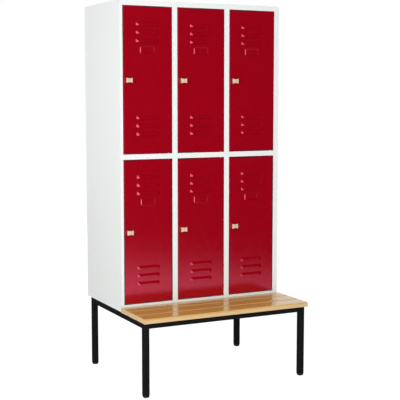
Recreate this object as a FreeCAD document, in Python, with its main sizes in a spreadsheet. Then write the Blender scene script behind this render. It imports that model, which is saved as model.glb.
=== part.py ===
import FreeCAD, Part
import math
import os
import Sketcher
from FreeCAD import Placement, Rotation, Vector

# Locker unit: a steel cabinet of two tiers and three columns on a square-tube under-frame that
# runs forward under a slatted seat. X is the width, Y points to the back, Z is up, and the
# origin is the centre of the footprint on the floor. All sizes are in millimetres.

# Driving sizes
SIZES = {
    # cabinet shell
    "cab_width": 930,
    "cab_depth": 500,
    "cab_height": 1592,
    "sheet": 1,
    "sheet_gap": 0.2,
    "left_stile": 15.5,
    "mid_stile": 30,
    "right_stile": 29.5,
    "stile_depth": 20,
    "top_band": 27,
    "mid_band": 27,
    "bottom_band": 36,
    "rear_flange": 15,
    "wall_hole_radius": 4,
    "wall_hole_spacing": 610,
    "wall_hole_drop": 60,
    # under-frame
    "frame_height": 378,
    "tube": 30,
    "tube_wall": 2,
    "tube_round": 3,
    "rail_height": 30,
    "rear_inset": 50,
    "cross_rail_ahead": 12,
    "foot_height": 12,
    "foot_corner": 8,
    "foot_round": 6,
    "plug_height": 15,
    "plug_gap": 0.2,
    # seat
    "slat_width": 100,
    "slat_thickness": 24,
    "slat_gap": 4,
    "slat_round": 5,
    "nose_round": 10,
    "slat_under_round": 2,
    "seat_setback": 3,
    "seat_side": 5.5,
    "seat_overhang": 24,
    "screw_radius": 2,
    "screw_head_radius": 4,
    "screw_head_height": 3,
    "screw_setback": 65,
    "screw_bite": 14,
    "hole_gap": 0.2,
    # cabinet bolts
    "bolt_radius": 3,
    "bolt_head_radius": 5.5,
    "bolt_head_height": 4,
    "bolt_spacing": 600,
    "bolt_setback": 7,
    # coat rails
    "coat_rail_radius": 8,
    "coat_rail_wall": 1.5,
    "coat_rail_drop": 60,
    "cup_radius": 13,
    "cup_depth": 10,
    "cup_floor": 2,
    # doors and hinges
    "door_gap": 3.5,
    "door_depth": 18,
    "door_round": 1.5,
    "door_lip": 7,
    "pivot_inset": 15,
    "pivot_setback": 6,
    "pin_radius": 2.5,
    "pin_head_radius": 4,
    "pin_head_height": 1.5,
    "pin_reach": 4,
    "running_gap": 0.08,
    # pressed louvres
    "louvre_length": 127,
    "louvre_height": 20,
    "louvre_depth": 5,
    "louvre_round": 9,
    "louvre_first": 102,
    "louvre_top": 85,
    "louvre_pitch": 42,
    "crest_inset": 13,
    "crest_height": 7,
    "crest_round": 4,
    "crest_edge": 1.5,
    "louvre_wall": 1.2,
    "louvre_slit": 0.4,
    # embossed label frame
    "label_width": 84,
    "label_height": 38,
    "label_slope": 4,
    "label_rim": 2,
    "label_round": 6,
    "label_raise": 3,
    "label_drop": 218,
    # door stiffener
    "hat_from_hinge": 20,
    "hat_flange": 8,
    "hat_crown": 24,
    "hat_depth": 13,
    "hat_end_gap": 55,
    # latch
    "lock_inset": 28,
    "rosette_radius": 13,
    "rosette_depth": 3,
    "rosette_bevel": 1.5,
    "face_gap": 0.3,
    "knob_base_radius": 11,
    "knob_base_depth": 5,
    "grip_length": 31,
    "grip_height": 25,
    "grip_dip": 3,
    "grip_depth": 12,
    "grip_round": 2,
    "key_width": 2,
    "key_length": 9,
    "key_depth": 4,
    "shaft_radius": 4.5,
    "stub_radius": 3,
    "stub_head": 2,
    "cam_sheet": 3,
    "cam_width": 18,
    "cam_round": 6,
    "cam_gap": 3.5,
    "cam_catch": 9,
}

SIDES = ("left", "middle", "right")
TIERS = ("lower", "upper")

doc = FreeCAD.newDocument("LockerUnit")
sheet = doc.addObject("Spreadsheet::Sheet", "Sizes")
for row, (name, size) in enumerate(SIZES.items(), start=1):
    sheet.set(f"A{row}", name)
    sheet.set(f"B{row}", str(size))
    sheet.setAlias(f"B{row}", name)
doc.recompute()

nodes = []


class Formula:
    """A size worked out from sheet cells: its number now, and the expression that follows the sheet."""

    def __init__(self, text, number):
        self.text = text
        self.number = number

    def __add__(self, other):
        other = formula(other)
        return Formula(f"({self.text} + {other.text})", self.number + other.number)

    def __radd__(self, other):
        return formula(other) + self

    def __sub__(self, other):
        other = formula(other)
        return Formula(f"({self.text} - {other.text})", self.number - other.number)

    def __rsub__(self, other):
        return formula(other) - self

    def __mul__(self, other):
        other = formula(other)
        return Formula(f"({self.text} * {other.text})", self.number * other.number)

    def __rmul__(self, other):
        return self * other

    def __truediv__(self, other):
        other = formula(other)
        return Formula(f"({self.text} / {other.text})", self.number / other.number)

    def __neg__(self):
        return Formula(f"(0 - {self.text})", -self.number)


class Sheet:
    """Gives each cell of the sheet as a formula: cell.cab_width and so on."""

    def __getattr__(self, name):
        return Formula(f"Sizes.{name}", float(SIZES[name]))


cell = Sheet()


def formula(term):
    """The term itself if it is a formula, or a plain number as one."""
    if isinstance(term, Formula):
        return term
    return Formula(str(term), float(term))


def bind(item, name, size):
    """Tie a property of a document object to a size."""
    item.setExpression(name, formula(size).text)


# Places worked out from the driving sizes, measured from the cabinet's front centre on the floor
bench_depth = 3 * cell.slat_width + 2 * cell.slat_gap + cell.seat_setback
opening_width = (cell.cab_width - cell.left_stile - 2 * cell.mid_stile - cell.right_stile) / 3
opening_height = (cell.cab_height - cell.top_band - cell.mid_band - cell.bottom_band) / 2
half_width = cell.cab_width / 2
column_pitch = opening_width + cell.mid_stile
top_z = cell.frame_height + cell.cab_height
floor_z = {"lower": cell.frame_height + cell.bottom_band}
floor_z["upper"] = floor_z["lower"] + opening_height + cell.mid_band
back_y = cell.cab_depth - 2 * cell.sheet
front_leg_y = cell.seat_overhang - bench_depth + cell.tube / 2
rear_leg_y = cell.cab_depth - cell.rear_inset - cell.tube / 2
cross_rail_y = cell.tube / 2 - cell.cross_rail_ahead
leg_x = half_width - cell.tube / 2
door_width = opening_width - 2 * cell.door_gap
door_height = opening_height - 2 * cell.door_gap
cam_front = cell.stile_depth + cell.cam_gap

# The cabinet's front, measured from the centre of the whole footprint
cabinet_y = (bench_depth - cell.cab_depth) / 2


def opening_x(column):
    """Left edge of a column's opening."""
    return cell.left_stile - half_width + column * column_pitch


def web_x(partition):
    """Middle of a partition's web."""
    return opening_x(partition) + opening_width + cell.mid_stile / 2


def bay_walls(column):
    """Inner faces of the walls to the left and right of a column."""
    left = cell.sheet - half_width if column == 0 else web_x(column - 1) + cell.sheet / 2
    right = half_width - cell.sheet if column == 2 else web_x(column) - cell.sheet / 2
    return left, right


def place(item, x, y, z, turn=Rotation()):
    """Set an object at a place measured from the cabinet's front centre on the floor."""
    item.Placement = Placement(Vector(), turn)
    bind(item, "Placement.Base.x", x)
    bind(item, "Placement.Base.y", cabinet_y + y)
    bind(item, "Placement.Base.z", z)


def new_body(label, x, y, z, is_node=True):
    """A body with its own origin at the given place."""
    body = doc.addObject("PartDesign::Body", label)
    place(body, x, y, z)
    if is_node:
        nodes.append(body)
    return body


def group(label, items):
    """One node that holds several separate solids."""
    made = doc.addObject("Part::Compound", label)
    made.Links = items
    nodes.append(made)


def origin_feature(body, role):
    """One of a body's own origin planes or axes."""
    return next(feature for feature in body.Origin.OriginFeatures if feature.Role == role)


def new_sketch(body, plane, offset=0):
    """An empty sketch on one of the body's origin planes, moved along the plane's normal."""
    sketch = body.newObject("Sketcher::SketchObject", "Outline")
    sketch.AttachmentSupport = [(origin_feature(body, plane + "_Plane"), "")]
    sketch.MapMode = "FlatFace"
    bind(sketch, "AttachmentOffset.Base.z", offset)
    return sketch


def fix(sketch, kind, geometry, point, size):
    """Fix a point's distance from the sketch origin along X or Y."""
    size = formula(size)
    index = sketch.addConstraint(Sketcher.Constraint(kind, -1, 1, geometry, point, size.number))
    bind(sketch, f"Constraints[{index}]", size)


def direction(start, end):
    """Which way a level or upright edge runs, as signs along X and Y."""
    signs = []
    for first, second in zip(start, end):
        run = formula(second).number - formula(first).number
        signs.append(0 if abs(run) < 1e-9 else int(math.copysign(1, run)))
    return signs


def shift(size, step, sign):
    """The size moved by a step along a sign."""
    if sign == 0:
        return size
    return size + step if sign > 0 else size - step


def outline(sketch, corners):
    """A closed anticlockwise outline. A square corner with a third value is rounded by that radius."""
    steps = []
    for index, corner in enumerate(corners):
        x, y = formula(corner[0]), formula(corner[1])
        if len(corner) == 2:
            steps.append((x, y, None))
            continue
        radius = corner[2]
        into = direction(corners[index - 1][:2], corner[:2])
        out = direction(corner[:2], corners[(index + 1) % len(corners)][:2])
        start = (shift(x, radius, -into[0]), shift(y, radius, -into[1]))
        end = (shift(x, radius, out[0]), shift(y, radius, out[1]))
        centre = (shift(start[0], radius, out[0]), shift(start[1], radius, out[1]))
        steps.append((*start, centre))
        steps.append((*end, None))
    first = sketch.GeometryCount
    for index, (x, y, centre) in enumerate(steps):
        after = steps[(index + 1) % len(steps)]
        start = Vector(x.number, y.number, 0)
        end = Vector(after[0].number, after[1].number, 0)
        if centre is None:
            sketch.addGeometry(Part.LineSegment(start, end), False)
            continue
        middle = Vector(centre[0].number, centre[1].number, 0)
        circle = Part.Circle(middle, Vector(0, 0, 1), (start - middle).Length)
        from_angle = math.atan2(start.y - middle.y, start.x - middle.x)
        to_angle = math.atan2(end.y - middle.y, end.x - middle.x)
        sketch.addGeometry(Part.ArcOfCircle(circle, from_angle, to_angle), False)
    for index, (x, y, centre) in enumerate(steps):
        after = (index + 1) % len(steps)
        sketch.addConstraint(Sketcher.Constraint("Coincident", first + index, 2, first + after, 1))
        fix(sketch, "DistanceX", first + index, 1, x)
        fix(sketch, "DistanceY", first + index, 1, y)
        if centre is not None:
            fix(sketch, "DistanceX", first + index, 3, centre[0])


def rectangle(sketch, left, bottom, right, top, radius=None):
    """A rectangle, with its corners rounded where a radius is given."""
    corners = [(left, bottom), (right, bottom), (right, top), (left, top)]
    if radius is not None:
        corners = [(*corner, radius) for corner in corners]
    outline(sketch, corners)


def circle(sketch, x, y, radius):
    """A full circle."""
    x, y, radius = formula(x), formula(y), formula(radius)
    centre = Vector(x.number, y.number, 0)
    index = sketch.addGeometry(Part.Circle(centre, Vector(0, 0, 1), radius.number), False)
    fix(sketch, "DistanceX", index, 3, x)
    fix(sketch, "DistanceY", index, 3, y)
    rule = sketch.addConstraint(Sketcher.Constraint("Radius", index, radius.number))
    bind(sketch, f"Constraints[{rule}]", radius)


def pad(body, sketch, length, reverse=False):
    """Raise a sketch along its normal, or against it."""
    feature = body.newObject("PartDesign::Pad", "Pad")
    feature.Profile = sketch
    feature.Reversed = reverse
    bind(feature, "Length", length)
    return feature


def pocket(body, sketch, length, reverse=False):
    """Cut a sketch against its normal, or along it."""
    feature = body.newObject("PartDesign::Pocket", "Pocket")
    feature.Profile = sketch
    feature.Reversed = reverse
    bind(feature, "Length", length)
    return feature


def turned(body, profile):
    """A solid of revolution about the body's Y axis, from radius and depth pairs."""
    sketch = new_sketch(body, "XY")
    outline(sketch, profile)
    feature = body.newObject("PartDesign::Revolution", "Turned")
    feature.Profile = sketch
    feature.ReferenceAxis = (sketch, ["V_Axis"])
    feature.Angle = 360
    return feature


def rounded(body, base, edges, radius):
    """Round the edges of the last feature that a test picks."""
    doc.recompute()
    names = [f"Edge{index}" for index, edge in enumerate(base.Shape.Edges, start=1) if edges(edge)]
    feature = body.newObject("PartDesign::Fillet", "Rounded")
    feature.Base = (base, names)
    bind(feature, "Radius", radius)
    return feature


def repeat(body, features, axis, length, count):
    """Copy features along one of the body's axes."""
    feature = body.newObject("PartDesign::LinearPattern", "Repeat")
    feature.Originals = features
    feature.Direction = (origin_feature(body, axis + "_Axis"), [""])
    feature.Occurrences = count
    bind(feature, "Length", length)
    body.Tip = feature
    return feature


def cylinder(label, radius, height, x, y, z, turn=Rotation()):
    """A plain cylinder that starts at the given place."""
    made = doc.addObject("Part::Cylinder", label)
    bind(made, "Radius", radius)
    bind(made, "Height", height)
    place(made, x, y, z, turn)
    return made


def fused(label, items):
    """Several solids made into one."""
    made = doc.addObject("Part::MultiFuse", label)
    made.Shapes = items
    return made


def tube_outline(sketch, width, height):
    """Section of a tube with rounded corners, centred on the sketch origin."""
    inner_round = cell.tube_round - cell.tube_wall
    inner_width = width / 2 - cell.tube_wall
    inner_height = height / 2 - cell.tube_wall
    rectangle(sketch, -(width / 2), -(height / 2), width / 2, height / 2, cell.tube_round)
    rectangle(sketch, -inner_width, -inner_height, inner_width, inner_height, inner_round)


def legs_and_feet():
    """Four square-tube legs, and the plug-in caps that they stand on."""
    caps = []
    for end, y in (("front", front_leg_y), ("rear", rear_leg_y)):
        for side, x in (("left", -leg_x), ("right", leg_x)):
            leg = new_body(f"leg_{end}_{side}", x, y, cell.foot_height)
            section = new_sketch(leg, "XY")
            tube_outline(section, cell.tube, cell.tube)
            pad(leg, section, cell.frame_height - cell.foot_height)
            cap = new_body(f"cap_{end}_{side}", x, y, 0, is_node=False)
            sole = new_sketch(cap, "XY")
            half = cell.tube / 2
            rectangle(sole, -half, -half, half, half, cell.foot_corner)
            foot = pad(cap, sole, cell.foot_height)
            rounded(cap, foot, lambda edge: edge.BoundBox.ZMax < 1e-6, cell.foot_round)
            plug = new_sketch(cap, "XY", cell.foot_height)
            half_plug = half - cell.tube_wall - cell.plug_gap
            plug_round = cell.tube_round - cell.tube_wall + cell.plug_gap
            rectangle(plug, -half_plug, -half_plug, half_plug, half_plug, plug_round)
            pad(cap, plug, cell.plug_height)
            caps.append(cap)
    group("foot_caps", caps)


def slat_front(slat):
    """Front edge of a slat, counted from the front."""
    return slat * (cell.slat_width + cell.slat_gap) - bench_depth


def screw_places():
    """Where the seat screws stand: one per slat in each side rail."""
    for x in (-leg_x, leg_x):
        for slat in range(3):
            yield x, slat_front(slat) + cell.screw_setback


def under_frame_rails():
    """Side rails with their screw holes, and three cross rails between the two sides."""
    rail_z = cell.frame_height - cell.rail_height / 2
    start_y = front_leg_y + cell.tube / 2
    for side, x, sign in (("left", -leg_x, -1), ("right", leg_x, 1)):
        rail = new_body(f"side_rail_{side}", x, start_y, rail_z)
        section = new_sketch(rail, "XZ")
        tube_outline(section, cell.tube, cell.rail_height)
        pad(rail, section, rear_leg_y - front_leg_y - cell.tube, reverse=True)
        holes = new_sketch(rail, "XY", cell.rail_height / 2)
        for hole_x, hole_y in screw_places():
            if hole_x.number * sign > 0:
                circle(holes, hole_x - x, hole_y - start_y, cell.screw_radius + cell.hole_gap)
        pocket(rail, holes, cell.rail_height)
    span = cell.cab_width - 2 * cell.tube
    for label, y in (("front_rail", front_leg_y), ("rear_rail", rear_leg_y), ("cross_rail", cross_rail_y)):
        rail = new_body(label, -(span / 2), y, rail_z)
        section = new_sketch(rail, "YZ")
        tube_outline(section, cell.tube, cell.rail_height)
        pad(rail, section, span)
        if label == "front_rail":
            continue
        holes = new_sketch(rail, "XY", cell.rail_height / 2)
        hole_y = cell.bolt_setback - cross_rail_y if label == "cross_rail" else 0
        for hole_x in (-(cell.bolt_spacing / 2), cell.bolt_spacing / 2):
            circle(holes, hole_x + span / 2, hole_y, cell.bolt_radius + cell.hole_gap)
        pocket(rail, holes, cell.rail_height)


def seat():
    """Three beech slats with rounded top edges, screwed on from below. The seat's nose is rounder."""
    start_x = -(half_width + cell.seat_side)
    for slat, label in enumerate(("front", "middle", "rear")):
        front_round = cell.nose_round if slat == 0 else cell.slat_round
        board = new_body(f"seat_slat_{label}", start_x, slat_front(slat), cell.frame_height)
        section = new_sketch(board, "YZ")
        outline(section, [
            (0, 0, cell.slat_under_round),
            (cell.slat_width, 0, cell.slat_under_round),
            (cell.slat_width, cell.slat_thickness, cell.slat_round),
            (0, cell.slat_thickness, front_round),
        ])
        pad(board, section, cell.cab_width + 2 * cell.seat_side)
        pilots = new_sketch(board, "XY")
        for x in (-leg_x - start_x, leg_x - start_x):
            circle(pilots, x, cell.screw_setback, cell.screw_radius + cell.hole_gap)
        pocket(board, pilots, cell.screw_bite + cell.hole_gap, reverse=True)
    screws = []
    under_z = cell.frame_height - cell.rail_height
    for x, y in screw_places():
        shank = cylinder("shank", cell.screw_radius, cell.rail_height + cell.screw_bite, x, y, under_z)
        head_z = under_z - cell.screw_head_height
        head = cylinder("head", cell.screw_head_radius, cell.screw_head_height, x, y, head_z)
        screws.append(fused("screw", [shank, head]))
    group("seat_screws", screws)


def side_panels():
    """Side walls folded from one sheet: stile and door return in front, a flange behind."""
    thick = cell.sheet
    for side, stile, sign in (("left", cell.left_stile, 1), ("right", cell.right_stile, -1)):
        panel = new_body(f"side_panel_{side}", sign * -half_width, 0, cell.frame_height)
        section = new_sketch(panel, "XY")
        fold = [
            (0, 0),
            (stile, 0),
            (stile, cell.stile_depth),
            (stile - thick, cell.stile_depth),
            (stile - thick, thick),
            (thick, thick),
            (thick, cell.cab_depth - thick),
            (cell.rear_flange, cell.cab_depth - thick),
            (cell.rear_flange, cell.cab_depth),
            (0, cell.cab_depth),
        ]
        if sign < 0:
            fold = [(-formula(x), y) for x, y in reversed(fold)]
        outline(section, fold)
        pad(panel, section, cell.cab_height - thick)


def partitions():
    """Walls between the columns: a box-folded stile in front and a plain web behind it."""
    thick = cell.sheet
    half = cell.mid_stile / 2
    for index, label in enumerate(("left", "right")):
        wall = new_body(f"partition_{label}", web_x(index), 0, cell.frame_height)
        box = new_sketch(wall, "XY")
        rectangle(box, -half, 0, half, cell.stile_depth)
        rectangle(box, thick - half, thick, half - thick, cell.stile_depth - thick)
        pad(wall, box, cell.cab_height - thick)
        web = new_sketch(wall, "XY", cell.bottom_band)
        rectangle(web, -(thick / 2), cell.stile_depth, thick / 2, back_y)
        pad(wall, web, cell.cab_height - thick - cell.bottom_band)


def front_fold(body, offset, band, has_top):
    """Folded front edge of a level panel: the band that shows, with a return along its lower edge."""
    thick = cell.sheet
    depth = cell.stile_depth
    reach = depth + cell.sheet_gap
    section = new_sketch(body, "YZ", offset + cell.sheet_gap)
    corners = [(0, -band), (depth, -band), (depth, thick - band), (thick, thick - band)]
    if has_top:
        corners += [(thick, -thick), (reach, -thick), (reach, 0), (0, 0)]
    else:
        corners += [(thick, 0), (0, 0)]
    outline(section, corners)
    return pad(body, section, opening_width - 2 * cell.sheet_gap)


def pin_hole_x(column):
    """Where a column's hinge axis stands."""
    return opening_x(column) + opening_width - cell.door_gap - cell.pivot_inset


def pin_holes(body, level, depth, columns, origin_x):
    """Holes for hinge pins down through a level sheet."""
    holes = new_sketch(body, "XY", level)
    for column in columns:
        x = pin_hole_x(column) - origin_x
        circle(holes, x, cell.pivot_setback, cell.pin_radius + cell.running_gap)
    pocket(body, holes, depth)


def top_panel():
    """Roof sheet with a folded band over each opening."""
    thick = cell.sheet
    roof = new_body("top_panel", 0, 0, top_z - thick)
    plate = new_sketch(roof, "XY")
    rectangle(plate, -half_width, 0, half_width, cell.cab_depth)
    pad(roof, plate, thick)
    band = front_fold(roof, opening_x(0), cell.top_band - thick, has_top=False)
    repeat(roof, [band], "X", 2 * column_pitch, 3)
    pin_holes(roof, 2 * thick - cell.top_band, thick, range(3), 0)


def bottom_panel():
    """Floor sheet with a folded band under each opening and a fold behind that is bolted down."""
    thick = cell.sheet
    base = new_body("bottom_panel", 0, 0, floor_z["lower"])
    plate = new_sketch(base, "XY", -thick)
    half = half_width - thick - cell.sheet_gap
    rectangle(plate, -half, cell.stile_depth + cell.sheet_gap, half, back_y)
    pad(base, plate, thick)
    rear = new_sketch(base, "YZ", -half)
    reach_y = rear_leg_y - cell.tube / 2
    outline(rear, [
        (reach_y, -cell.bottom_band),
        (back_y, -cell.bottom_band),
        (back_y, -thick),
        (back_y - thick, -thick),
        (back_y - thick, thick - cell.bottom_band),
        (reach_y, thick - cell.bottom_band),
    ])
    pad(base, rear, 2 * half)
    band = front_fold(base, opening_x(0), cell.bottom_band, has_top=True)
    repeat(base, [band], "X", 2 * column_pitch, 3)
    pin_holes(base, 0, thick, range(3), 0)
    holes = new_sketch(base, "XY", thick - cell.bottom_band)
    for x in (-(cell.bolt_spacing / 2), cell.bolt_spacing / 2):
        for y in (cell.bolt_setback, rear_leg_y):
            circle(holes, x, y, cell.bolt_radius + cell.hole_gap)
    pocket(base, holes, thick)


def middle_shelves():
    """Shelf between the tiers of each column, with its folded band in front."""
    thick = cell.sheet
    for column, side in enumerate(SIDES):
        start_x = opening_x(column)
        left, right = bay_walls(column)
        shelf = new_body(f"middle_shelf_{side}", start_x, 0, floor_z["upper"])
        plate = new_sketch(shelf, "XY", -thick)
        rectangle(
            plate,
            left + cell.sheet_gap - start_x,
            cell.stile_depth + cell.sheet_gap,
            right - cell.sheet_gap - start_x,
            back_y - cell.sheet_gap,
        )
        pad(shelf, plate, thick)
        front_fold(shelf, formula(0), cell.mid_band, has_top=True)
        pin_holes(shelf, 0, cell.mid_band, [column], start_x)


def back_panel():
    """Rear sheet inside the side flanges, with two holes for wall anchors."""
    back = new_body("back_panel", 0, back_y, cell.frame_height)
    sheet_outline = new_sketch(back, "XZ")
    half = half_width - cell.sheet - cell.sheet_gap
    rectangle(sheet_outline, -half, 0, half, cell.cab_height - cell.sheet)
    for x in (-(cell.wall_hole_spacing / 2), cell.wall_hole_spacing / 2):
        circle(sheet_outline, x, cell.cab_height - cell.wall_hole_drop, cell.wall_hole_radius)
    pad(back, sheet_outline, cell.sheet, reverse=True)


def cabinet_bolts():
    """Bolts and nuts that hold the cabinet's floor folds on the cross rail and the rear rail."""
    parts = []
    height = cell.sheet + cell.rail_height + cell.bolt_head_height
    under_z = cell.frame_height - cell.rail_height
    for x in (-(cell.bolt_spacing / 2), cell.bolt_spacing / 2):
        for y in (cell.bolt_setback, rear_leg_y):
            shank = cylinder("bolt_shank", cell.bolt_radius, height, x, y, under_z - cell.bolt_head_height)
            hexagons = []
            for z in (cell.frame_height + cell.sheet, under_z - cell.bolt_head_height):
                hexagon = doc.addObject("Part::Prism", "hexagon")
                hexagon.Polygon = 6
                bind(hexagon, "Circumradius", cell.bolt_head_radius)
                bind(hexagon, "Height", cell.bolt_head_height)
                place(hexagon, x, y, z)
                hexagons.append(hexagon)
            parts.append(fused("bolt", [shank] + hexagons))
    group("cabinet_bolts", parts)


def coat_rails():
    """A hanging rail across the top of each compartment, carried by a cup on each wall."""
    along = Rotation(Vector(0, 1, 0), 90)
    rails = []
    cups = []
    bore = cell.coat_rail_radius + cell.hole_gap
    y = cell.cab_depth / 2
    ceilings = (floor_z["upper"] - cell.sheet, top_z - cell.sheet)
    for ceiling in ceilings:
        z = ceiling - cell.coat_rail_drop
        for column in range(3):
            left, right = bay_walls(column)
            end = cell.cup_floor + cell.hole_gap
            rail = new_body("coat_rail", left + end, y, z, is_node=False)
            section = new_sketch(rail, "YZ")
            circle(section, 0, 0, cell.coat_rail_radius)
            circle(section, 0, 0, cell.coat_rail_radius - cell.coat_rail_wall)
            pad(rail, section, right - left - 2 * end)
            rails.append(rail)
            hollows = (left + cell.cup_floor, right - cell.cup_depth)
            for start, hollow in zip((left, right - cell.cup_depth), hollows):
                block = cylinder("cup_block", cell.cup_radius, cell.cup_depth, start, y, z, along)
                depth = cell.cup_depth - cell.cup_floor
                socket = cylinder("cup_socket", bore, depth, hollow, y, z, along)
                cup = doc.addObject("Part::Cut", "cup")
                cup.Base = block
                cup.Tool = socket
                cups.append(cup)
    group("coat_rails", rails)
    group("rail_cups", cups)


def hinge_pins():
    """Headed pins in the folded bands, two for each door."""
    pins = []
    length = cell.sheet + cell.door_gap + cell.sheet + cell.pin_reach
    for tier in TIERS:
        floor = floor_z[tier]
        ceiling = floor + opening_height
        for column in range(3):
            x = pin_hole_x(column)
            y = cell.pivot_setback
            low_z = floor - cell.sheet
            high_z = ceiling + cell.sheet
            for shank_z, head_z in ((low_z, low_z - cell.pin_head_height), (high_z - length, high_z)):
                shank = cylinder("pin_shank", cell.pin_radius, length, x, y, shank_z)
                head = cylinder("pin_head", cell.pin_head_radius, cell.pin_head_height, x, y, head_z)
                pins.append(fused("pin", [shank, head]))
    group("hinge_pins", pins)


def louvre_outline(sketch, half, bottom, height, radius):
    """A louvre seen from the front, in the middle of the door: level below, its upper corners round."""
    middle = door_width / 2
    outline(sketch, [
        (middle - half, bottom),
        (middle + half, bottom),
        (middle + half, bottom + height, radius),
        (middle - half, bottom + height, radius),
    ])


def louvres(door):
    """Pressed gills in two sets of three, each open below and closed at its top and ends."""
    half = cell.louvre_length / 2
    bottom = cell.louvre_first - cell.louvre_height / 2
    nothing = formula(0)
    behind = cell.sheet + cell.louvre_wall
    inside = cell.louvre_depth - cell.sheet
    stages = []
    for kind, start, end, wall, slit in (
        ("PartDesign::AdditiveLoft", nothing, cell.louvre_depth, nothing, nothing),
        ("PartDesign::SubtractiveLoft", -behind, inside, cell.louvre_wall, cell.louvre_slit),
    ):
        base = new_sketch(door, "XZ", start)
        crest = new_sketch(door, "XZ", end)
        low = bottom - slit
        tall = cell.louvre_height + slit - wall
        short = cell.crest_height + slit - wall
        louvre_outline(base, half - wall, low, tall, cell.louvre_round - wall)
        louvre_outline(crest, half - cell.crest_inset - wall, low, short, cell.crest_round - wall)
        loft = door.newObject(kind, "Louvre")
        loft.Profile = base
        loft.Sections = [crest]
        loft.Ruled = True
        stages.append(loft)
    pattern = repeat(door, stages, "Z", 2 * cell.louvre_pitch, 3)
    pattern.Direction2 = (origin_feature(door, "Z_Axis"), [""])
    pattern.Occurrences2 = 2
    bind(pattern, "Length2", door_height - cell.louvre_first - cell.louvre_top - 2 * cell.louvre_pitch)
    crest_y = -cell.louvre_depth.number
    lip_length = (cell.louvre_length - 2 * cell.crest_inset).number

    def is_crest(edge):
        """Whether an edge lies on a louvre's crest, apart from the open lip along its bottom."""
        return edge.BoundBox.YMax < crest_y + 1e-6 and edge.Length < lip_length - 1e-6

    rounded(door, pattern, is_crest, cell.crest_edge)


def label_frame(door):
    """Pressed frame for a name card: sloping sides, a flat rim and a sunk field."""
    left = door_width / 2 - cell.label_width / 2
    bottom = door_height - cell.label_drop - cell.label_height / 2
    right = left + cell.label_width
    top = bottom + cell.label_height
    foot = new_sketch(door, "XZ")
    rectangle(foot, left, bottom, right, top, cell.label_round)
    rim = new_sketch(door, "XZ", cell.label_raise)
    inset = cell.label_slope
    rim_round = cell.label_round - inset
    rectangle(rim, left + inset, bottom + inset, right - inset, top - inset, rim_round)
    frame = door.newObject("PartDesign::AdditiveLoft", "LabelFrame")
    frame.Profile = foot
    frame.Sections = [rim]
    frame.Ruled = True
    field = new_sketch(door, "XZ", cell.label_raise)
    inset = cell.label_slope + cell.label_rim
    rectangle(field, left + inset, bottom + inset, right - inset, top - inset)
    pocket(door, field, cell.label_raise)


def door_panel(name, x, z):
    """Door pressed from one sheet: a tray with a rear lip, louvres, label frame and pin holes."""
    thick = cell.sheet
    door = new_body(f"door_panel_{name}", x, 0, z)
    face = new_sketch(door, "XZ")
    rectangle(face, 0, 0, door_width, door_height)
    block = pad(door, face, cell.door_depth, reverse=True)
    rounded(door, block, lambda edge: edge.BoundBox.YMax < 1e-6, cell.door_round)
    hollow = new_sketch(door, "XZ", -cell.door_depth)
    rectangle(hollow, thick, thick, door_width - thick, door_height - thick)
    pocket(door, hollow, cell.door_depth - thick, reverse=True)
    lip = new_sketch(door, "XZ", -cell.door_depth)
    rectangle(lip, 0, 0, door_width, door_height)
    inset = cell.door_lip
    rectangle(lip, inset, inset, door_width - inset, door_height - inset)
    pad(door, lip, thick)
    holes = new_sketch(door, "XY", door_height)
    circle(holes, door_width - cell.pivot_inset, cell.pivot_setback, cell.pin_radius + cell.running_gap)
    pocket(door, holes, door_height)
    shaft = new_sketch(door, "XZ")
    circle(shaft, cell.lock_inset, door_height / 2, cell.shaft_radius + cell.running_gap)
    pocket(door, shaft, thick)
    label_frame(door)
    louvres(door)


def door_stiffener(name, x, z):
    """Hat section inside the door, beside the hinge."""
    thick = cell.sheet
    flange = cell.hat_flange
    crown = cell.hat_crown
    top = thick + cell.hat_depth
    width = 2 * flange + crown
    start_x = door_width - cell.hat_from_hinge - width
    hat = new_body(f"door_stiffener_{name}", x + start_x, 0, z + cell.hat_end_gap)
    section = new_sketch(hat, "XY")
    outline(section, [
        (0, thick),
        (flange, thick),
        (flange, top - thick),
        (flange + crown, top - thick),
        (flange + crown, thick),
        (width, thick),
        (width, 2 * thick),
        (flange + crown + thick, 2 * thick),
        (flange + crown + thick, top),
        (flange - thick, top),
        (flange - thick, 2 * thick),
        (0, 2 * thick),
    ])
    pad(hat, section, door_height - 2 * cell.hat_end_gap)


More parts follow.
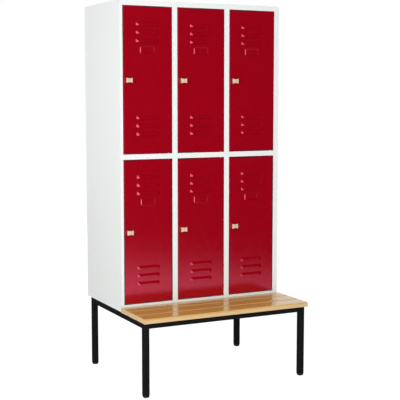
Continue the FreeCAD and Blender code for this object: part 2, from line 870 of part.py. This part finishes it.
def latch(name, x, z):
    """Turn latch: rosette on the door, knob with its shaft, and the cam behind the stile."""
    lock_x = x + cell.lock_inset
    lock_z = z + door_height / 2
    rosette = new_body(f"latch_rosette_{name}", lock_x, 0, lock_z)
    bore = cell.shaft_radius + cell.running_gap
    bevel = cell.rosette_bevel
    turned(rosette, [
        (bore, -cell.rosette_depth),
        (cell.rosette_radius - bevel, -cell.rosette_depth),
        (cell.rosette_radius, bevel - cell.rosette_depth),
        (cell.rosette_radius, 0),
        (bore, 0),
    ])
    knob = new_body(f"turn_knob_{name}", lock_x, 0, lock_z)
    base_back = -(cell.rosette_depth + cell.face_gap)
    base_front = base_back - cell.knob_base_depth
    stub_end = cam_front + cell.cam_sheet + cell.face_gap
    turned(knob, [
        (0, base_front),
        (cell.knob_base_radius, base_front),
        (cell.knob_base_radius, base_back),
        (cell.shaft_radius, base_back),
        (cell.shaft_radius, cam_front),
        (cell.stub_radius, cam_front),
        (cell.stub_radius, stub_end),
        (cell.shaft_radius, stub_end),
        (cell.shaft_radius, stub_end + cell.stub_head),
        (0, stub_end + cell.stub_head),
    ])
    half = cell.grip_length / 2
    rise = cell.grip_height / 2
    grip = new_sketch(knob, "XZ", -base_front)
    rectangle(grip, -half, -rise, half, rise)
    pad(knob, grip, cell.grip_depth)
    scoop_radius = (half * half + cell.grip_dip * cell.grip_dip) / (2 * cell.grip_dip)
    scoop_z = rise - cell.grip_dip + scoop_radius
    scoops = new_sketch(knob, "XZ", cell.grip_depth - base_front)
    circle(scoops, 0, scoop_z, scoop_radius)
    circle(scoops, 0, -scoop_z, scoop_radius)
    raised = pocket(knob, scoops, cell.grip_depth)
    front_y = (base_front - cell.grip_depth).number
    rounded(knob, raised, lambda edge: edge.BoundBox.YMax < front_y + 1e-6, cell.grip_round)
    key = new_sketch(knob, "XZ", cell.grip_depth - base_front)
    half_key = cell.key_width / 2
    rectangle(key, -half_key, -(cell.key_length / 2), half_key, cell.key_length / 2)
    pocket(knob, key, cell.key_depth)
    cam = new_body(f"latch_cam_{name}", lock_x, 0, lock_z)
    blade = new_sketch(cam, "XZ", -cam_front)
    half_cam = cell.cam_width / 2
    reach = cell.lock_inset + cell.door_gap + cell.cam_catch
    rectangle(blade, -half_cam, -reach, half_cam, half_cam, cell.cam_round)
    circle(blade, 0, 0, cell.stub_radius + cell.running_gap)
    pad(cam, blade, cell.cam_sheet, reverse=True)


for build in (
    legs_and_feet,
    under_frame_rails,
    seat,
    side_panels,
    partitions,
    top_panel,
    bottom_panel,
    middle_shelves,
    back_panel,
    cabinet_bolts,
    coat_rails,
    hinge_pins,
):
    build()

for tier in TIERS:
    for column, side in enumerate(SIDES):
        door_name = f"{tier}_{side}"
        door_x = opening_x(column) + cell.door_gap
        door_z = floor_z[tier] + cell.door_gap
        door_panel(door_name, door_x, door_z)
        door_stiffener(door_name, door_x, door_z)
        latch(door_name, door_x, door_z)

doc.recompute()

# Nothing is written unless every object is sound and every cut has removed material
for item in doc.Objects:
    if {"Invalid", "Error"} & set(item.State):
        raise RuntimeError(f"{item.Label} failed: {item.State}")
    if item.TypeId in ("PartDesign::Pocket", "PartDesign::SubtractiveLoft"):
        if item.Shape.Volume >= item.BaseFeature.Shape.Volume - 1e-6:
            raise RuntimeError(f"{item.Name} cuts nothing")
for node in nodes:
    if node.Shape.isNull() or not node.Shape.isValid():
        raise RuntimeError(f"{node.Label} has no valid shape")

os.makedirs("parts", exist_ok=True)
for node in nodes:
    node.Shape.exportStep(f"parts/{node.Label}.step")
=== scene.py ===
import math

import bpy
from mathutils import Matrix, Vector


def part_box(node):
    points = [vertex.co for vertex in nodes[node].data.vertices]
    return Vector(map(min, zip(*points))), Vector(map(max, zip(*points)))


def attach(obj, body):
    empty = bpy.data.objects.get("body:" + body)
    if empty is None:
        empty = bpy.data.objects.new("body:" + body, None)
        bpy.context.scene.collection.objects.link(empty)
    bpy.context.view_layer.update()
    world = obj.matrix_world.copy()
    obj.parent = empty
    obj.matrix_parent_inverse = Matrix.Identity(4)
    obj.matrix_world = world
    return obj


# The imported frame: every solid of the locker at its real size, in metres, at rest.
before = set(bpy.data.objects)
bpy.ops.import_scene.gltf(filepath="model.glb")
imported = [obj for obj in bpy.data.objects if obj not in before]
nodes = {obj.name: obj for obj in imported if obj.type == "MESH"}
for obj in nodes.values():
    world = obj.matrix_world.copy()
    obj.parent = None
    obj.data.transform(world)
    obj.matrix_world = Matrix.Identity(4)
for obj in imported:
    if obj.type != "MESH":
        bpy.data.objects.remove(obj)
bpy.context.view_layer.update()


# Under-frame: four legs and five rails of square steel tube, welded into one stand.
# The stand is powder coated black after welding, so the weld beads carry the same coat.
# The helpers for shader nodes and materials are here because this is the first finish.
def add_node(tree, kind, sockets=None, **settings):
    """A shader node with its settings, and each named input given a value or joined to an output."""
    node = tree.nodes.new(kind)
    for name, value in settings.items():
        setattr(node, name, value)
    for name, value in (sockets or {}).items():
        if isinstance(value, bpy.types.NodeSocket):
            tree.links.new(value, node.inputs[name])
        else:
            node.inputs[name].default_value = value
    return node


def new_effect(name, inputs, outputs):
    """An empty node group with named sockets, and its input and output nodes."""
    group = bpy.data.node_groups.new(name, "ShaderNodeTree")
    for label, start in inputs.items():
        kind = "NodeSocketFloat"
        if isinstance(start, tuple):
            kind = "NodeSocketColor" if len(start) == 4 else "NodeSocketVector"
        socket = group.interface.new_socket(label, in_out="INPUT", socket_type=kind)
        socket.default_value = start
    for label, kind in outputs.items():
        group.interface.new_socket(label, in_out="OUTPUT", socket_type=kind)
    return group, group.nodes.new("NodeGroupInput"), group.nodes.new("NodeGroupOutput")


def math_node(tree, operation, first, second=0.0, third=0.0):
    """The result of one calculation."""
    sockets = {0: first, 1: second, 2: third}
    return add_node(tree, "ShaderNodeMath", sockets, operation=operation).outputs[0]


def noise(tree, vector, scale, detail=2.0):
    """Noise between 0 and 1 at a scale given in cycles per metre."""
    sockets = {"Vector": vector, "Scale": scale, "Detail": detail}
    return add_node(tree, "ShaderNodeTexNoise", sockets).outputs["Fac"]


def spread(tree, value, low, high, start=0.0, end=1.0):
    """A value that goes from low to high while another goes from start to end."""
    sockets = {"Value": value, "From Min": start, "From Max": end, "To Min": low, "To Max": high}
    return add_node(tree, "ShaderNodeMapRange", sockets).outputs["Result"]


FINISH_OUTPUTS = {"Colour": "NodeSocketColor", "Roughness": "NodeSocketFloat", "Height": "NodeSocketFloat"}


def powder_coat_effect():
    """Baked powder: orange peel at millimetre scale, faint mottle and uneven gloss."""
    drift_scale = 4.0
    cloud_scale = 38.0
    cloud_share = 0.35
    roughness_swing = 0.12
    inputs = {"Colour": (0.5, 0.5, 0.5, 1.0), "Mottle": 0.03, "Peel size": 0.0015, "Roughness": 0.35}
    group, given, result = new_effect("Powder coat", inputs, FINISH_OUTPUTS)
    place = add_node(group, "ShaderNodeTexCoord").outputs["Object"]
    peel_scale = math_node(group, "DIVIDE", 1.0, given.outputs["Peel size"])
    peel = noise(group, place, peel_scale, detail=1.5)
    drift = noise(group, place, drift_scale, detail=3.0)
    cloud = noise(group, place, cloud_scale)
    drift_part = math_node(group, "MULTIPLY", drift, 1.0 - cloud_share)
    blend = math_node(group, "MULTIPLY_ADD", cloud, cloud_share, drift_part)
    swing = math_node(group, "MULTIPLY", math_node(group, "SUBTRACT", blend, 0.5), 2.0)
    value = math_node(group, "MULTIPLY_ADD", swing, given.outputs["Mottle"], 1.0)
    tint = add_node(group, "ShaderNodeHueSaturation", {"Color": given.outputs["Colour"], "Value": value})
    patches = math_node(group, "SUBTRACT", cloud, 0.5)
    rough = math_node(group, "MULTIPLY_ADD", patches, roughness_swing, given.outputs["Roughness"])
    group.links.new(tint.outputs["Color"], result.inputs["Colour"])
    group.links.new(rough, result.inputs["Roughness"])
    group.links.new(peel, result.inputs["Height"])
    return group


powder_coat = powder_coat_effect()


def new_material(name):
    """A new material, its node tree and its surface shader."""
    material = bpy.data.materials.new(name)
    material.use_nodes = True
    return material, material.node_tree, material.node_tree.nodes["Principled BSDF"]


def lay_on(tree, surface, effect, relief):
    """Join an effect's colour, roughness and height to a surface, with its relief in metres."""
    tree.links.new(effect.outputs["Colour"], surface.inputs["Base Color"])
    tree.links.new(effect.outputs["Roughness"], surface.inputs["Roughness"])
    bump = add_node(tree, "ShaderNodeBump", {"Height": effect.outputs["Height"], "Distance": relief})
    tree.links.new(bump.outputs["Normal"], surface.inputs["Normal"])


def coated(name, colour, mottle, peel_size, peel_depth, roughness, shine):
    """A coat or skin of one colour. Its shine is the strength of its reflections."""
    material, tree, surface = new_material(name)
    values = {"Colour": (*colour, 1.0), "Mottle": mottle, "Peel size": peel_size, "Roughness": roughness}
    effect = add_node(tree, "ShaderNodeGroup", values, node_tree=powder_coat)
    lay_on(tree, surface, effect, peel_depth)
    surface.inputs["Specular IOR Level"].default_value = shine
    return material


def dress(names, material):
    """Give nodes of the frame a material."""
    for name in names:
        slots = nodes[name].data.materials
        slots.clear()
        slots.append(material)


black_coat = coated(
    "black_powder_coat",
    colour=(0.009, 0.009, 0.0093),
    mottle=0.12,
    peel_size=0.0012,
    peel_depth=0.0001,
    roughness=0.5,
    shine=0.08,
)
LEGS = ["leg_front_left", "leg_front_right", "leg_rear_left", "leg_rear_right"]
CROSSWISE_RAILS = ["front_rail", "rear_rail", "cross_rail"]
dress(LEGS + CROSSWISE_RAILS + ["side_rail_left", "side_rail_right"], black_coat)

BEAD_RADIUS = 0.0026
BEAD_INSET = 0.004
BEAD_RINGS = 24
BEAD_SIDES = 8
BEAD_TIP_SHARE = 0.15
TAPER_POWER = 8
RIPPLE_DEPTH = 0.12
RIPPLE_STEP = 2.1
UP = Vector((0.0, 0.0, 1.0))


def weld_bead(name, start, end):
    """A rippled bead laid along an inner corner between two tubes."""
    start, end = Vector(start), Vector(end)
    sideways = (end - start).normalized().cross(UP)
    verts = []
    for ring in range(BEAD_RINGS + 1):
        share = ring / BEAD_RINGS
        centre = start.lerp(end, share)
        taper = math.sqrt(max(0.0, 1.0 - (2.0 * share - 1.0) ** TAPER_POWER))
        ripple = 1.0 + RIPPLE_DEPTH * math.sin(ring * RIPPLE_STEP)
        radius = BEAD_RADIUS * (BEAD_TIP_SHARE + (1.0 - BEAD_TIP_SHARE) * taper) * ripple
        for point in range(BEAD_SIDES):
            angle = 2.0 * math.pi * point / BEAD_SIDES
            verts.append(centre + radius * (math.cos(angle) * sideways + math.sin(angle) * UP))
    last_ring = BEAD_RINGS * BEAD_SIDES
    start_cap = tuple(range(BEAD_SIDES))
    end_cap = tuple(reversed(range(last_ring, last_ring + BEAD_SIDES)))
    faces = [start_cap, end_cap]
    for ring in range(BEAD_RINGS):
        for point in range(BEAD_SIDES):
            here = ring * BEAD_SIDES + point
            beside = ring * BEAD_SIDES + (point + 1) % BEAD_SIDES
            faces.append((here, here + BEAD_SIDES, beside + BEAD_SIDES, beside))
    mesh = bpy.data.meshes.new(name)
    mesh.from_pydata(verts, [], faces)
    for polygon in mesh.polygons:
        polygon.use_smooth = True
    mesh.materials.append(black_coat)
    bead = bpy.data.objects.new(name, mesh)
    bpy.context.scene.collection.objects.link(bead)
    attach(bead, "frame")


for side in ("left", "right"):
    rail_low, rail_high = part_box(f"side_rail_{side}")
    for end, y in (("front", rail_low[1]), ("rear", rail_high[1])):
        start = (rail_low[0] + BEAD_INSET, y, rail_low[2])
        weld_bead(f"weld_side_{end}_{side}", start, (rail_high[0] - BEAD_INSET, y, rail_low[2]))
for rail in CROSSWISE_RAILS:
    rail_low, rail_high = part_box(rail)
    for side, x in (("left", rail_low[0]), ("right", rail_high[0])):
        start = (x, rail_low[1] + BEAD_INSET, rail_low[2])
        weld_bead(f"weld_{rail}_{side}", start, (x, rail_high[1] - BEAD_INSET, rail_low[2]))

# Foot caps: plugs of moulded black polyethylene, pushed into the leg tubes from below.
# Their skin has the fine grain of the mould, which is the powder coat's effect at a smaller size.
black_plastic = coated(
    "moulded_black_plastic",
    colour=(0.012, 0.012, 0.013),
    mottle=0.2,
    peel_size=0.0005,
    peel_depth=0.00008,
    roughness=0.52,
    shine=0.5,
)
dress(["foot_caps"], black_plastic)


# Seat: three slats of solid beech with rounded edges, screwed to the side rails from below.
# The wood is sanded and sealed with a clear varnish, and each slat is cut from another board.
def mixed(tree, factor, first, second):
    """A colour between two colours. A mix node's colour sockets are known only by their numbers."""
    first_colour = 6
    second_colour = 7
    mixed_colour = 2
    sockets = {"Factor": factor, first_colour: first, second_colour: second}
    return add_node(tree, "ShaderNodeMix", sockets, data_type="RGBA").outputs[mixed_colour]


def beech_effect():
    """Solid beech: growth rings about a heart line beside the board, fibres and short flecks."""
    inputs = {
        "Heart": (0.0, 0.0, 0.0),
        "Light wood": (0.5, 0.5, 0.5, 1.0),
        "Dark wood": (0.4, 0.4, 0.4, 1.0),
        "Edge grain and highlight": (0.6, 0.6, 0.6, 1.0),
        "End grain and highlight": (0.7, 0.7, 0.7, 1.0),
        "Fleck": (0.2, 0.2, 0.2, 1.0),
        "Ring width": 0.004,
    }
    group, given, result = new_effect("Beech grain", inputs, FINISH_OUTPUTS)
    texture = add_node(group, "ShaderNodeTexCoord")
    sockets = {0: texture.outputs["Object"], 1: given.outputs["Heart"]}
    from_heart = add_node(group, "ShaderNodeVectorMath", sockets, operation="SUBTRACT").outputs["Vector"]

    def drawn_out(along, scale, detail=2.0):
        """Noise drawn out along the grain."""
        sockets = {0: from_heart, 1: (along, 1.0, 1.0)}
        vector = add_node(group, "ShaderNodeVectorMath", sockets, operation="MULTIPLY").outputs["Vector"]
        return noise(group, vector, scale, detail)

    # Growth rings that wander about the heart, darkest at the end of each year
    wander_reach = 0.03
    late_wood_power = 2.5
    parts = add_node(group, "ShaderNodeSeparateXYZ", {"Vector": from_heart})
    y_square = math_node(group, "POWER", parts.outputs["Y"], 2.0)
    z_square = math_node(group, "POWER", parts.outputs["Z"], 2.0)
    radius = math_node(group, "SQRT", math_node(group, "ADD", y_square, z_square))
    wander = drawn_out(0.12, scale=11.0, detail=3.0)
    bent = math_node(group, "MULTIPLY_ADD", wander, wander_reach, radius)
    rings = math_node(group, "FRACT", math_node(group, "DIVIDE", bent, given.outputs["Ring width"]))
    late_wood = math_node(group, "POWER", rings, late_wood_power)

    # Rings, fibres and the board's own clouds make the tone between light and dark wood
    ring_share = 0.32
    fibre_share = 0.38
    board_share = 0.55
    fibre = drawn_out(0.03, scale=900.0)
    board = drawn_out(0.15, scale=14.0)
    fibre_part = math_node(group, "MULTIPLY", fibre, fibre_share)
    tone = math_node(group, "MULTIPLY_ADD", late_wood, ring_share, fibre_part)
    tone = math_node(group, "MULTIPLY_ADD", board, board_share, tone)
    tone = spread(group, tone, 0.0, 1.0, start=0.25, end=0.95)
    wood = mixed(group, tone, given.outputs["Light wood"], given.outputs["Dark wood"])

    # Edges and ends are painted less golden and paler than the top: partly the other look of edge and end
    # grain, partly a painted highlight where the rounded edges catch the light.
    edge_highlight_strength = 0.8
    ways = add_node(group, "ShaderNodeSeparateXYZ", {"Vector": texture.outputs["Normal"]})
    endwise = math_node(group, "ABSOLUTE", ways.outputs["X"])
    end_highlight_mask = spread(group, endwise, 0.0, 1.0, start=0.5, end=0.8)
    edge_tone_and_highlight = mixed(group, end_highlight_mask, given.outputs["Edge grain and highlight"], given.outputs["End grain and highlight"])
    upward = math_node(group, "ABSOLUTE", ways.outputs["Z"])
    edge_highlight_mask = spread(group, upward, edge_highlight_strength, 0.0, start=0.1, end=0.7)
    wood = mixed(group, edge_highlight_mask, wood, edge_tone_and_highlight)

    # Short dark flecks lie a little lower than the fibres round them
    fleck_strength = 0.45
    dashes = drawn_out(0.11, scale=1250.0, detail=0.0)
    fleck = spread(group, dashes, 0.0, 1.0, start=0.66, end=0.74)
    fleck_mask = math_node(group, "MULTIPLY", fleck, fleck_strength)
    wood = mixed(group, fleck_mask, wood, given.outputs["Fleck"])
    group.links.new(wood, result.inputs["Colour"])
    group.links.new(spread(group, fibre, 0.36, 0.5), result.inputs["Roughness"])
    group.links.new(math_node(group, "SUBTRACT", fibre, fleck), result.inputs["Height"])
    return group


beech_grain = beech_effect()
BEECH = {
    "Light wood": (0.80, 0.515, 0.14, 1.0),
    "Dark wood": (0.625, 0.35, 0.074, 1.0),
    "Edge grain and highlight": (0.70, 0.49, 0.28, 1.0),
    # Edge and end colours: partly the wood's edge and end grain, partly a painted highlight.
    "End grain and highlight": (0.86, 0.62, 0.38, 1.0),
    "Fleck": (0.30, 0.13, 0.03, 1.0),
    "Ring width": 0.004,
}
GRAIN_DEPTH = 0.00005
WOOD_SHINE = 0.2
VARNISH_WEIGHT = 0.85
VARNISH_ROUGHNESS = 0.14
SLAT_HEARTS = {"front": (0.21, -0.36, 0.30), "middle": (-0.47, -0.22, 0.46), "rear": (0.83, -0.16, 0.33)}
for slat, heart in SLAT_HEARTS.items():
    beech, tree, surface = new_material(f"varnished_beech_{slat}")
    effect = add_node(tree, "ShaderNodeGroup", {"Heart": heart, **BEECH}, node_tree=beech_grain)
    lay_on(tree, surface, effect, GRAIN_DEPTH)
    surface.inputs["Specular IOR Level"].default_value = WOOD_SHINE
    surface.inputs["Coat Weight"].default_value = VARNISH_WEIGHT
    surface.inputs["Coat Roughness"].default_value = VARNISH_ROUGHNESS
    dress([f"seat_slat_{slat}"], beech)


# Screws, bolts, hinge pins and coat rails: plain steel, zinc plated to a dull silver with cloudy patches.
# The cups that carry the coat rails are moulded plastic like the foot caps.
def zinc_plate(name):
    """Steel under a thin cloudy layer of zinc."""
    cloud_scale = 160.0
    dark_zinc = (0.46, 0.47, 0.49, 1.0)
    light_zinc = (0.68, 0.69, 0.70, 1.0)
    material, tree, surface = new_material(name)
    place = add_node(tree, "ShaderNodeTexCoord").outputs["Object"]
    cloud = noise(tree, place, cloud_scale, detail=4.0)
    ramp = add_node(tree, "ShaderNodeValToRGB", {"Fac": cloud})
    ramp.color_ramp.elements[0].color = dark_zinc
    ramp.color_ramp.elements[1].color = light_zinc
    tree.links.new(ramp.outputs["Color"], surface.inputs["Base Color"])
    tree.links.new(spread(tree, cloud, 0.28, 0.46), surface.inputs["Roughness"])
    surface.inputs["Metallic"].default_value = 1.0
    return material


zinc = zinc_plate("zinc_plated_steel")
dress(["seat_screws", "cabinet_bolts", "coat_rails", "hinge_pins"], zinc)
dress(["rail_cups"], black_plastic)


# Cabinet shell: folded sheet steel, spot welded and powder coated light grey.
# It is made of the sides, partitions, roof, floor, shelves and back.
# Its folds round the doors are painted dark a few millimetres deep: painted shade in the gaps, where the
# coat is also made dull.
def door_gap_effect():
    """The gaps round the doors: painted shade that darkens the coat just behind the front, and a coat made
    dull there.
    """
    shade_start = 0.00002
    shade_full = 0.0003
    fade_start = 0.007
    fade_end = 0.011
    shade_strength = 0.96
    inputs = {
        "Colour": (0.5, 0.5, 0.5, 1.0),
        "Roughness": 0.5,
        "Front": 0.0,
        "Half width": 1.0,
        "Low": 0.0,
        "High": 1.0,
    }
    outputs = {"Colour": "NodeSocketColor", "Roughness": "NodeSocketFloat"}
    group, given, result = new_effect("Painted door gap shade", inputs, outputs)
    texture = add_node(group, "ShaderNodeTexCoord")
    spot = add_node(group, "ShaderNodeSeparateXYZ", {"Vector": texture.outputs["Object"]})
    ways = add_node(group, "ShaderNodeSeparateXYZ", {"Vector": texture.outputs["Normal"]})
    depth = math_node(group, "SUBTRACT", spot.outputs["Y"], given.outputs["Front"])
    forward = math_node(group, "ABSOLUTE", ways.outputs["Y"])
    across = math_node(group, "ABSOLUTE", spot.outputs["X"])
    masks = [
        spread(group, depth, 1.0, 0.0, start=fade_start, end=fade_end),
        spread(group, forward, 1.0, 0.0, start=0.7, end=0.99),
        math_node(group, "LESS_THAN", across, given.outputs["Half width"]),
        math_node(group, "GREATER_THAN", spot.outputs["Z"], given.outputs["Low"]),
        math_node(group, "LESS_THAN", spot.outputs["Z"], given.outputs["High"]),
    ]
    # Painted shade: a mask that darkens the coat just behind the front, inside the gaps round the doors.
    gap_shade = spread(group, depth, 0.0, 1.0, start=shade_start, end=shade_full)
    for mask in masks:
        gap_shade = math_node(group, "MULTIPLY", gap_shade, mask)
    value = math_node(group, "MULTIPLY_ADD", gap_shade, -shade_strength, 1.0)
    tint = add_node(group, "ShaderNodeHueSaturation", {"Color": given.outputs["Colour"], "Value": value})
    dull = math_node(group, "MAXIMUM", given.outputs["Roughness"], gap_shade)
    group.links.new(tint.outputs["Color"], result.inputs["Colour"])
    group.links.new(dull, result.inputs["Roughness"])
    return group


door_gap = door_gap_effect()
SHELL_RIM = 0.012
shell_low, shell_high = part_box("side_panel_left")
GAP_LIMITS = {
    "Front": shell_low[1],
    "Half width": -shell_low[0] - SHELL_RIM,
    "Low": shell_low[2] + SHELL_RIM,
    "High": shell_high[2] - SHELL_RIM,
}


def darken_gaps(material):
    """Paint shade into a coat of the shell or the doors in the gaps round the doors, and make it dull
    there.
    """
    tree = material.node_tree
    surface = tree.nodes["Principled BSDF"]
    effect = add_node(tree, "ShaderNodeGroup", GAP_LIMITS, node_tree=door_gap)
    for label, socket in (("Colour", "Base Color"), ("Roughness", "Roughness")):
        tree.links.new(surface.inputs[socket].links[0].from_socket, effect.inputs[label])
        tree.links.new(effect.outputs[label], surface.inputs[socket])


grey_coat = coated(
    "light_grey_powder_coat",
    colour=(0.82, 0.84, 0.825),
    mottle=0.01,
    peel_size=0.0016,
    peel_depth=0.0001,
    roughness=0.4,
    shine=0.22,
)
darken_gaps(grey_coat)
COLUMNS = ("left", "middle", "right")
SHELL = ["side_panel_left", "side_panel_right", "partition_left", "partition_right"]
SHELL += ["top_panel", "bottom_panel", "back_panel"]
SHELL += [f"middle_shelf_{column}" for column in COLUMNS]
dress(SHELL, grey_coat)

# Doors: one pressed and folded sheet each, with a hat-section stiffener spot welded inside.
# Louvres and card frame are pressed from the sheet itself, all under a ruby red powder coat.
# A clear ruby layer over the coat makes its gloss strong and red.
red_coat = coated(
    "ruby_red_powder_coat",
    colour=(0.36, 0.0002, 0.0078),
    mottle=0.012,
    peel_size=0.0014,
    peel_depth=0.00004,
    roughness=0.15,
    shine=1.0,
)
ruby_gloss = red_coat.node_tree.nodes["Principled BSDF"].inputs
ruby_gloss["IOR"].default_value = 1.85
ruby_gloss["Specular Tint"].default_value = (1.0, 0.235, 0.37, 1.0)
darken_gaps(red_coat)
DOORS = [f"{tier}_{column}" for tier in ("lower", "upper") for column in COLUMNS]
for door in DOORS:
    dress([f"door_panel_{door}", f"door_stiffener_{door}"], red_coat)

# Turn latches: a die-cast grip lacquered cream, turning in a rosette of black plastic.
# One stands at each door's left edge, and a zinc-plated cam on its shaft swings behind the stile.
cream_lacquer = coated(
    "cream_lacquer",
    colour=(0.70, 0.54, 0.37),
    mottle=0.03,
    peel_size=0.0009,
    peel_depth=0.00003,
    roughness=0.3,
    shine=0.5,
)
for door in DOORS:
    dress([f"turn_knob_{door}"], cream_lacquer)
    dress([f"latch_rosette_{door}"], black_plastic)
    dress([f"latch_cam_{door}"], zinc)

# Studio floor: a sheet of white paper that keeps a faint shadow of the locker.
# The camera sees it glow towards white, and it sends the light on as plain paper does.
# Gloss mirrors it as a white patch before the locker that fades near it and to the far right.
FLOOR_FRONT = -6.0
FLOOR_BACK = 9.0
FLOOR_SIDE = 8.0
PAPER_WHITE = (0.84, 0.84, 0.84, 1.0)
SHADOW_PAPER = (0.36, 0.36, 0.36, 1.0)
PAPER_GLOW = 0.84
PATCH_SLANT = 1.1
PATCH_FADE_START = 3.4
PATCH_END = 5.4
PATCH_NEAR = 1.2
PATCH_NEAR_FULL = 1.9
paper_mesh = bpy.data.meshes.new("studio_floor")
corners = [
    (-FLOOR_SIDE, FLOOR_FRONT, 0.0),
    (FLOOR_SIDE, FLOOR_FRONT, 0.0),
    (FLOOR_SIDE, FLOOR_BACK, 0.0),
    (-FLOOR_SIDE, FLOOR_BACK, 0.0),
]
paper_mesh.from_pydata(corners, [], [(0, 1, 2, 3)])
floor = bpy.data.objects.new("studio_floor", paper_mesh)
bpy.context.scene.collection.objects.link(floor)
paper = bpy.data.materials.new("white_paper")
paper.use_nodes = True
tree = paper.node_tree
tree.nodes.clear()
plain = add_node(tree, "ShaderNodeBsdfDiffuse", {"Color": PAPER_WHITE})
shaded = add_node(tree, "ShaderNodeBsdfDiffuse", {"Color": SHADOW_PAPER})
glow = add_node(tree, "ShaderNodeEmission", {"Strength": PAPER_GLOW})
shown = add_node(tree, "ShaderNodeAddShader", {0: shaded.outputs[0], 1: glow.outputs[0]})
place = add_node(tree, "ShaderNodeTexCoord").outputs["Object"]
spot = add_node(tree, "ShaderNodeSeparateXYZ", {"Vector": place})
ahead = math_node(tree, "MULTIPLY", spot.outputs["Y"], -1.0)
slanted = math_node(tree, "MULTIPLY_ADD", spot.outputs["X"], PATCH_SLANT, ahead)
far_side = spread(tree, slanted, 1.0, 0.0, start=PATCH_FADE_START, end=PATCH_END)
near_side = spread(tree, ahead, 0.0, 1.0, start=PATCH_NEAR, end=PATCH_NEAR_FULL)
patch = math_node(tree, "MULTIPLY", far_side, near_side)
mirror_glow = add_node(tree, "ShaderNodeEmission", {"Strength": patch})
path = add_node(tree, "ShaderNodeLightPath").outputs
mirrored = math_node(tree, "MAXIMUM", path["Is Glossy Ray"], path["Is Transmission Ray"])
sockets = {0: path["Is Camera Ray"], 1: plain.outputs[0], 2: shown.outputs[0]}
seen = add_node(tree, "ShaderNodeMixShader", sockets)
sockets = {0: mirrored, 1: seen.outputs[0], 2: mirror_glow.outputs[0]}
finish = add_node(tree, "ShaderNodeMixShader", sockets)
add_node(tree, "ShaderNodeOutputMaterial", {"Surface": finish.outputs[0]})
floor.data.materials.append(paper)

# Studio light: an even white room, a large soft box left of the camera, a weak one behind the locker.
# The camera sees the room pure white, and its light on the locker is half as strong.
# Gloss mirrors it as white behind the locker and dark behind the camera.
ROOM_LIGHT = 0.50
WHITE = (1.0, 1.0, 1.0, 1.0)
DARK_UP_TO = -0.35
WHITE_FROM = 0.15
world = bpy.data.worlds.new("studio")
bpy.context.scene.world = world
world.use_nodes = True
tree = world.node_tree
tree.nodes.clear()
heading = add_node(tree, "ShaderNodeTexCoord").outputs["Generated"]
to_back = add_node(tree, "ShaderNodeSeparateXYZ", {"Vector": heading}).outputs["Y"]
mirrored_room = spread(tree, to_back, 0.0, 1.0, start=DARK_UP_TO, end=WHITE_FROM)
room = add_node(tree, "ShaderNodeBackground", {"Color": WHITE, "Strength": ROOM_LIGHT})
studio = add_node(tree, "ShaderNodeBackground", {"Color": WHITE, "Strength": mirrored_room})
backdrop = add_node(tree, "ShaderNodeBackground", {"Color": WHITE, "Strength": 1.0})
path = add_node(tree, "ShaderNodeLightPath").outputs
mirrored = math_node(tree, "MAXIMUM", path["Is Glossy Ray"], path["Is Transmission Ray"])
around = add_node(tree, "ShaderNodeMixShader", {0: mirrored, 1: room.outputs[0], 2: studio.outputs[0]})
sockets = {0: path["Is Camera Ray"], 1: around.outputs[0], 2: backdrop.outputs[0]}
seen = add_node(tree, "ShaderNodeMixShader", sockets)
add_node(tree, "ShaderNodeOutputWorld", {"Surface": seen.outputs[0]})


def soft_box(name, place, target, width, height, power):
    """A rectangular lamp aimed at a point, in metres and watts."""
    lamp = bpy.data.lights.new(name, "AREA")
    lamp.shape = "RECTANGLE"
    lamp.size = width
    lamp.size_y = height
    lamp.energy = power
    item = bpy.data.objects.new(name, lamp)
    item.location = place
    item.rotation_euler = (Vector(target) - Vector(place)).to_track_quat("-Z", "Y").to_euler()
    item.visible_camera = False
    bpy.context.scene.collection.objects.link(item)


soft_box(
    "key_soft_box",
    place=(-2.95, -3.45, 1.6),
    target=(0.0, -0.1, 1.1),
    width=6.4,
    height=3.3,
    power=190.0,
)
soft_box(
    "rear_soft_box",
    place=(1.2, 5.5, 2.6),
    target=(0.0, 0.2, 1.1),
    width=3.0,
    height=2.5,
    power=60.0,
)

# Camera: at the photograph's place, five metres off to the left of the front, at chest height.
# Place, turn, tilt and focal length fit the edges of doors, cabinet, seat and legs.
# It has no shift, so that other views show the whole locker too.
CAMERA_PLACE = (-2.3822, -4.8163, 1.4887)
CAMERA_YAW = 26.643
CAMERA_PITCH = 5.930
FOCAL_LENGTH = 90.121
SENSOR_WIDTH = 36.0
lens = bpy.data.cameras.new("camera")
lens.lens = FOCAL_LENGTH
lens.sensor_width = SENSOR_WIDTH
lens.clip_end = 100.0
camera = bpy.data.objects.new("camera", lens)
camera.location = CAMERA_PLACE
camera.rotation_euler = (math.radians(90.0 - CAMERA_PITCH), 0.0, math.radians(-CAMERA_YAW))
bpy.context.scene.collection.objects.link(camera)
bpy.context.scene.camera = camera
bpy.context.scene.view_settings.view_transform = "Standard"
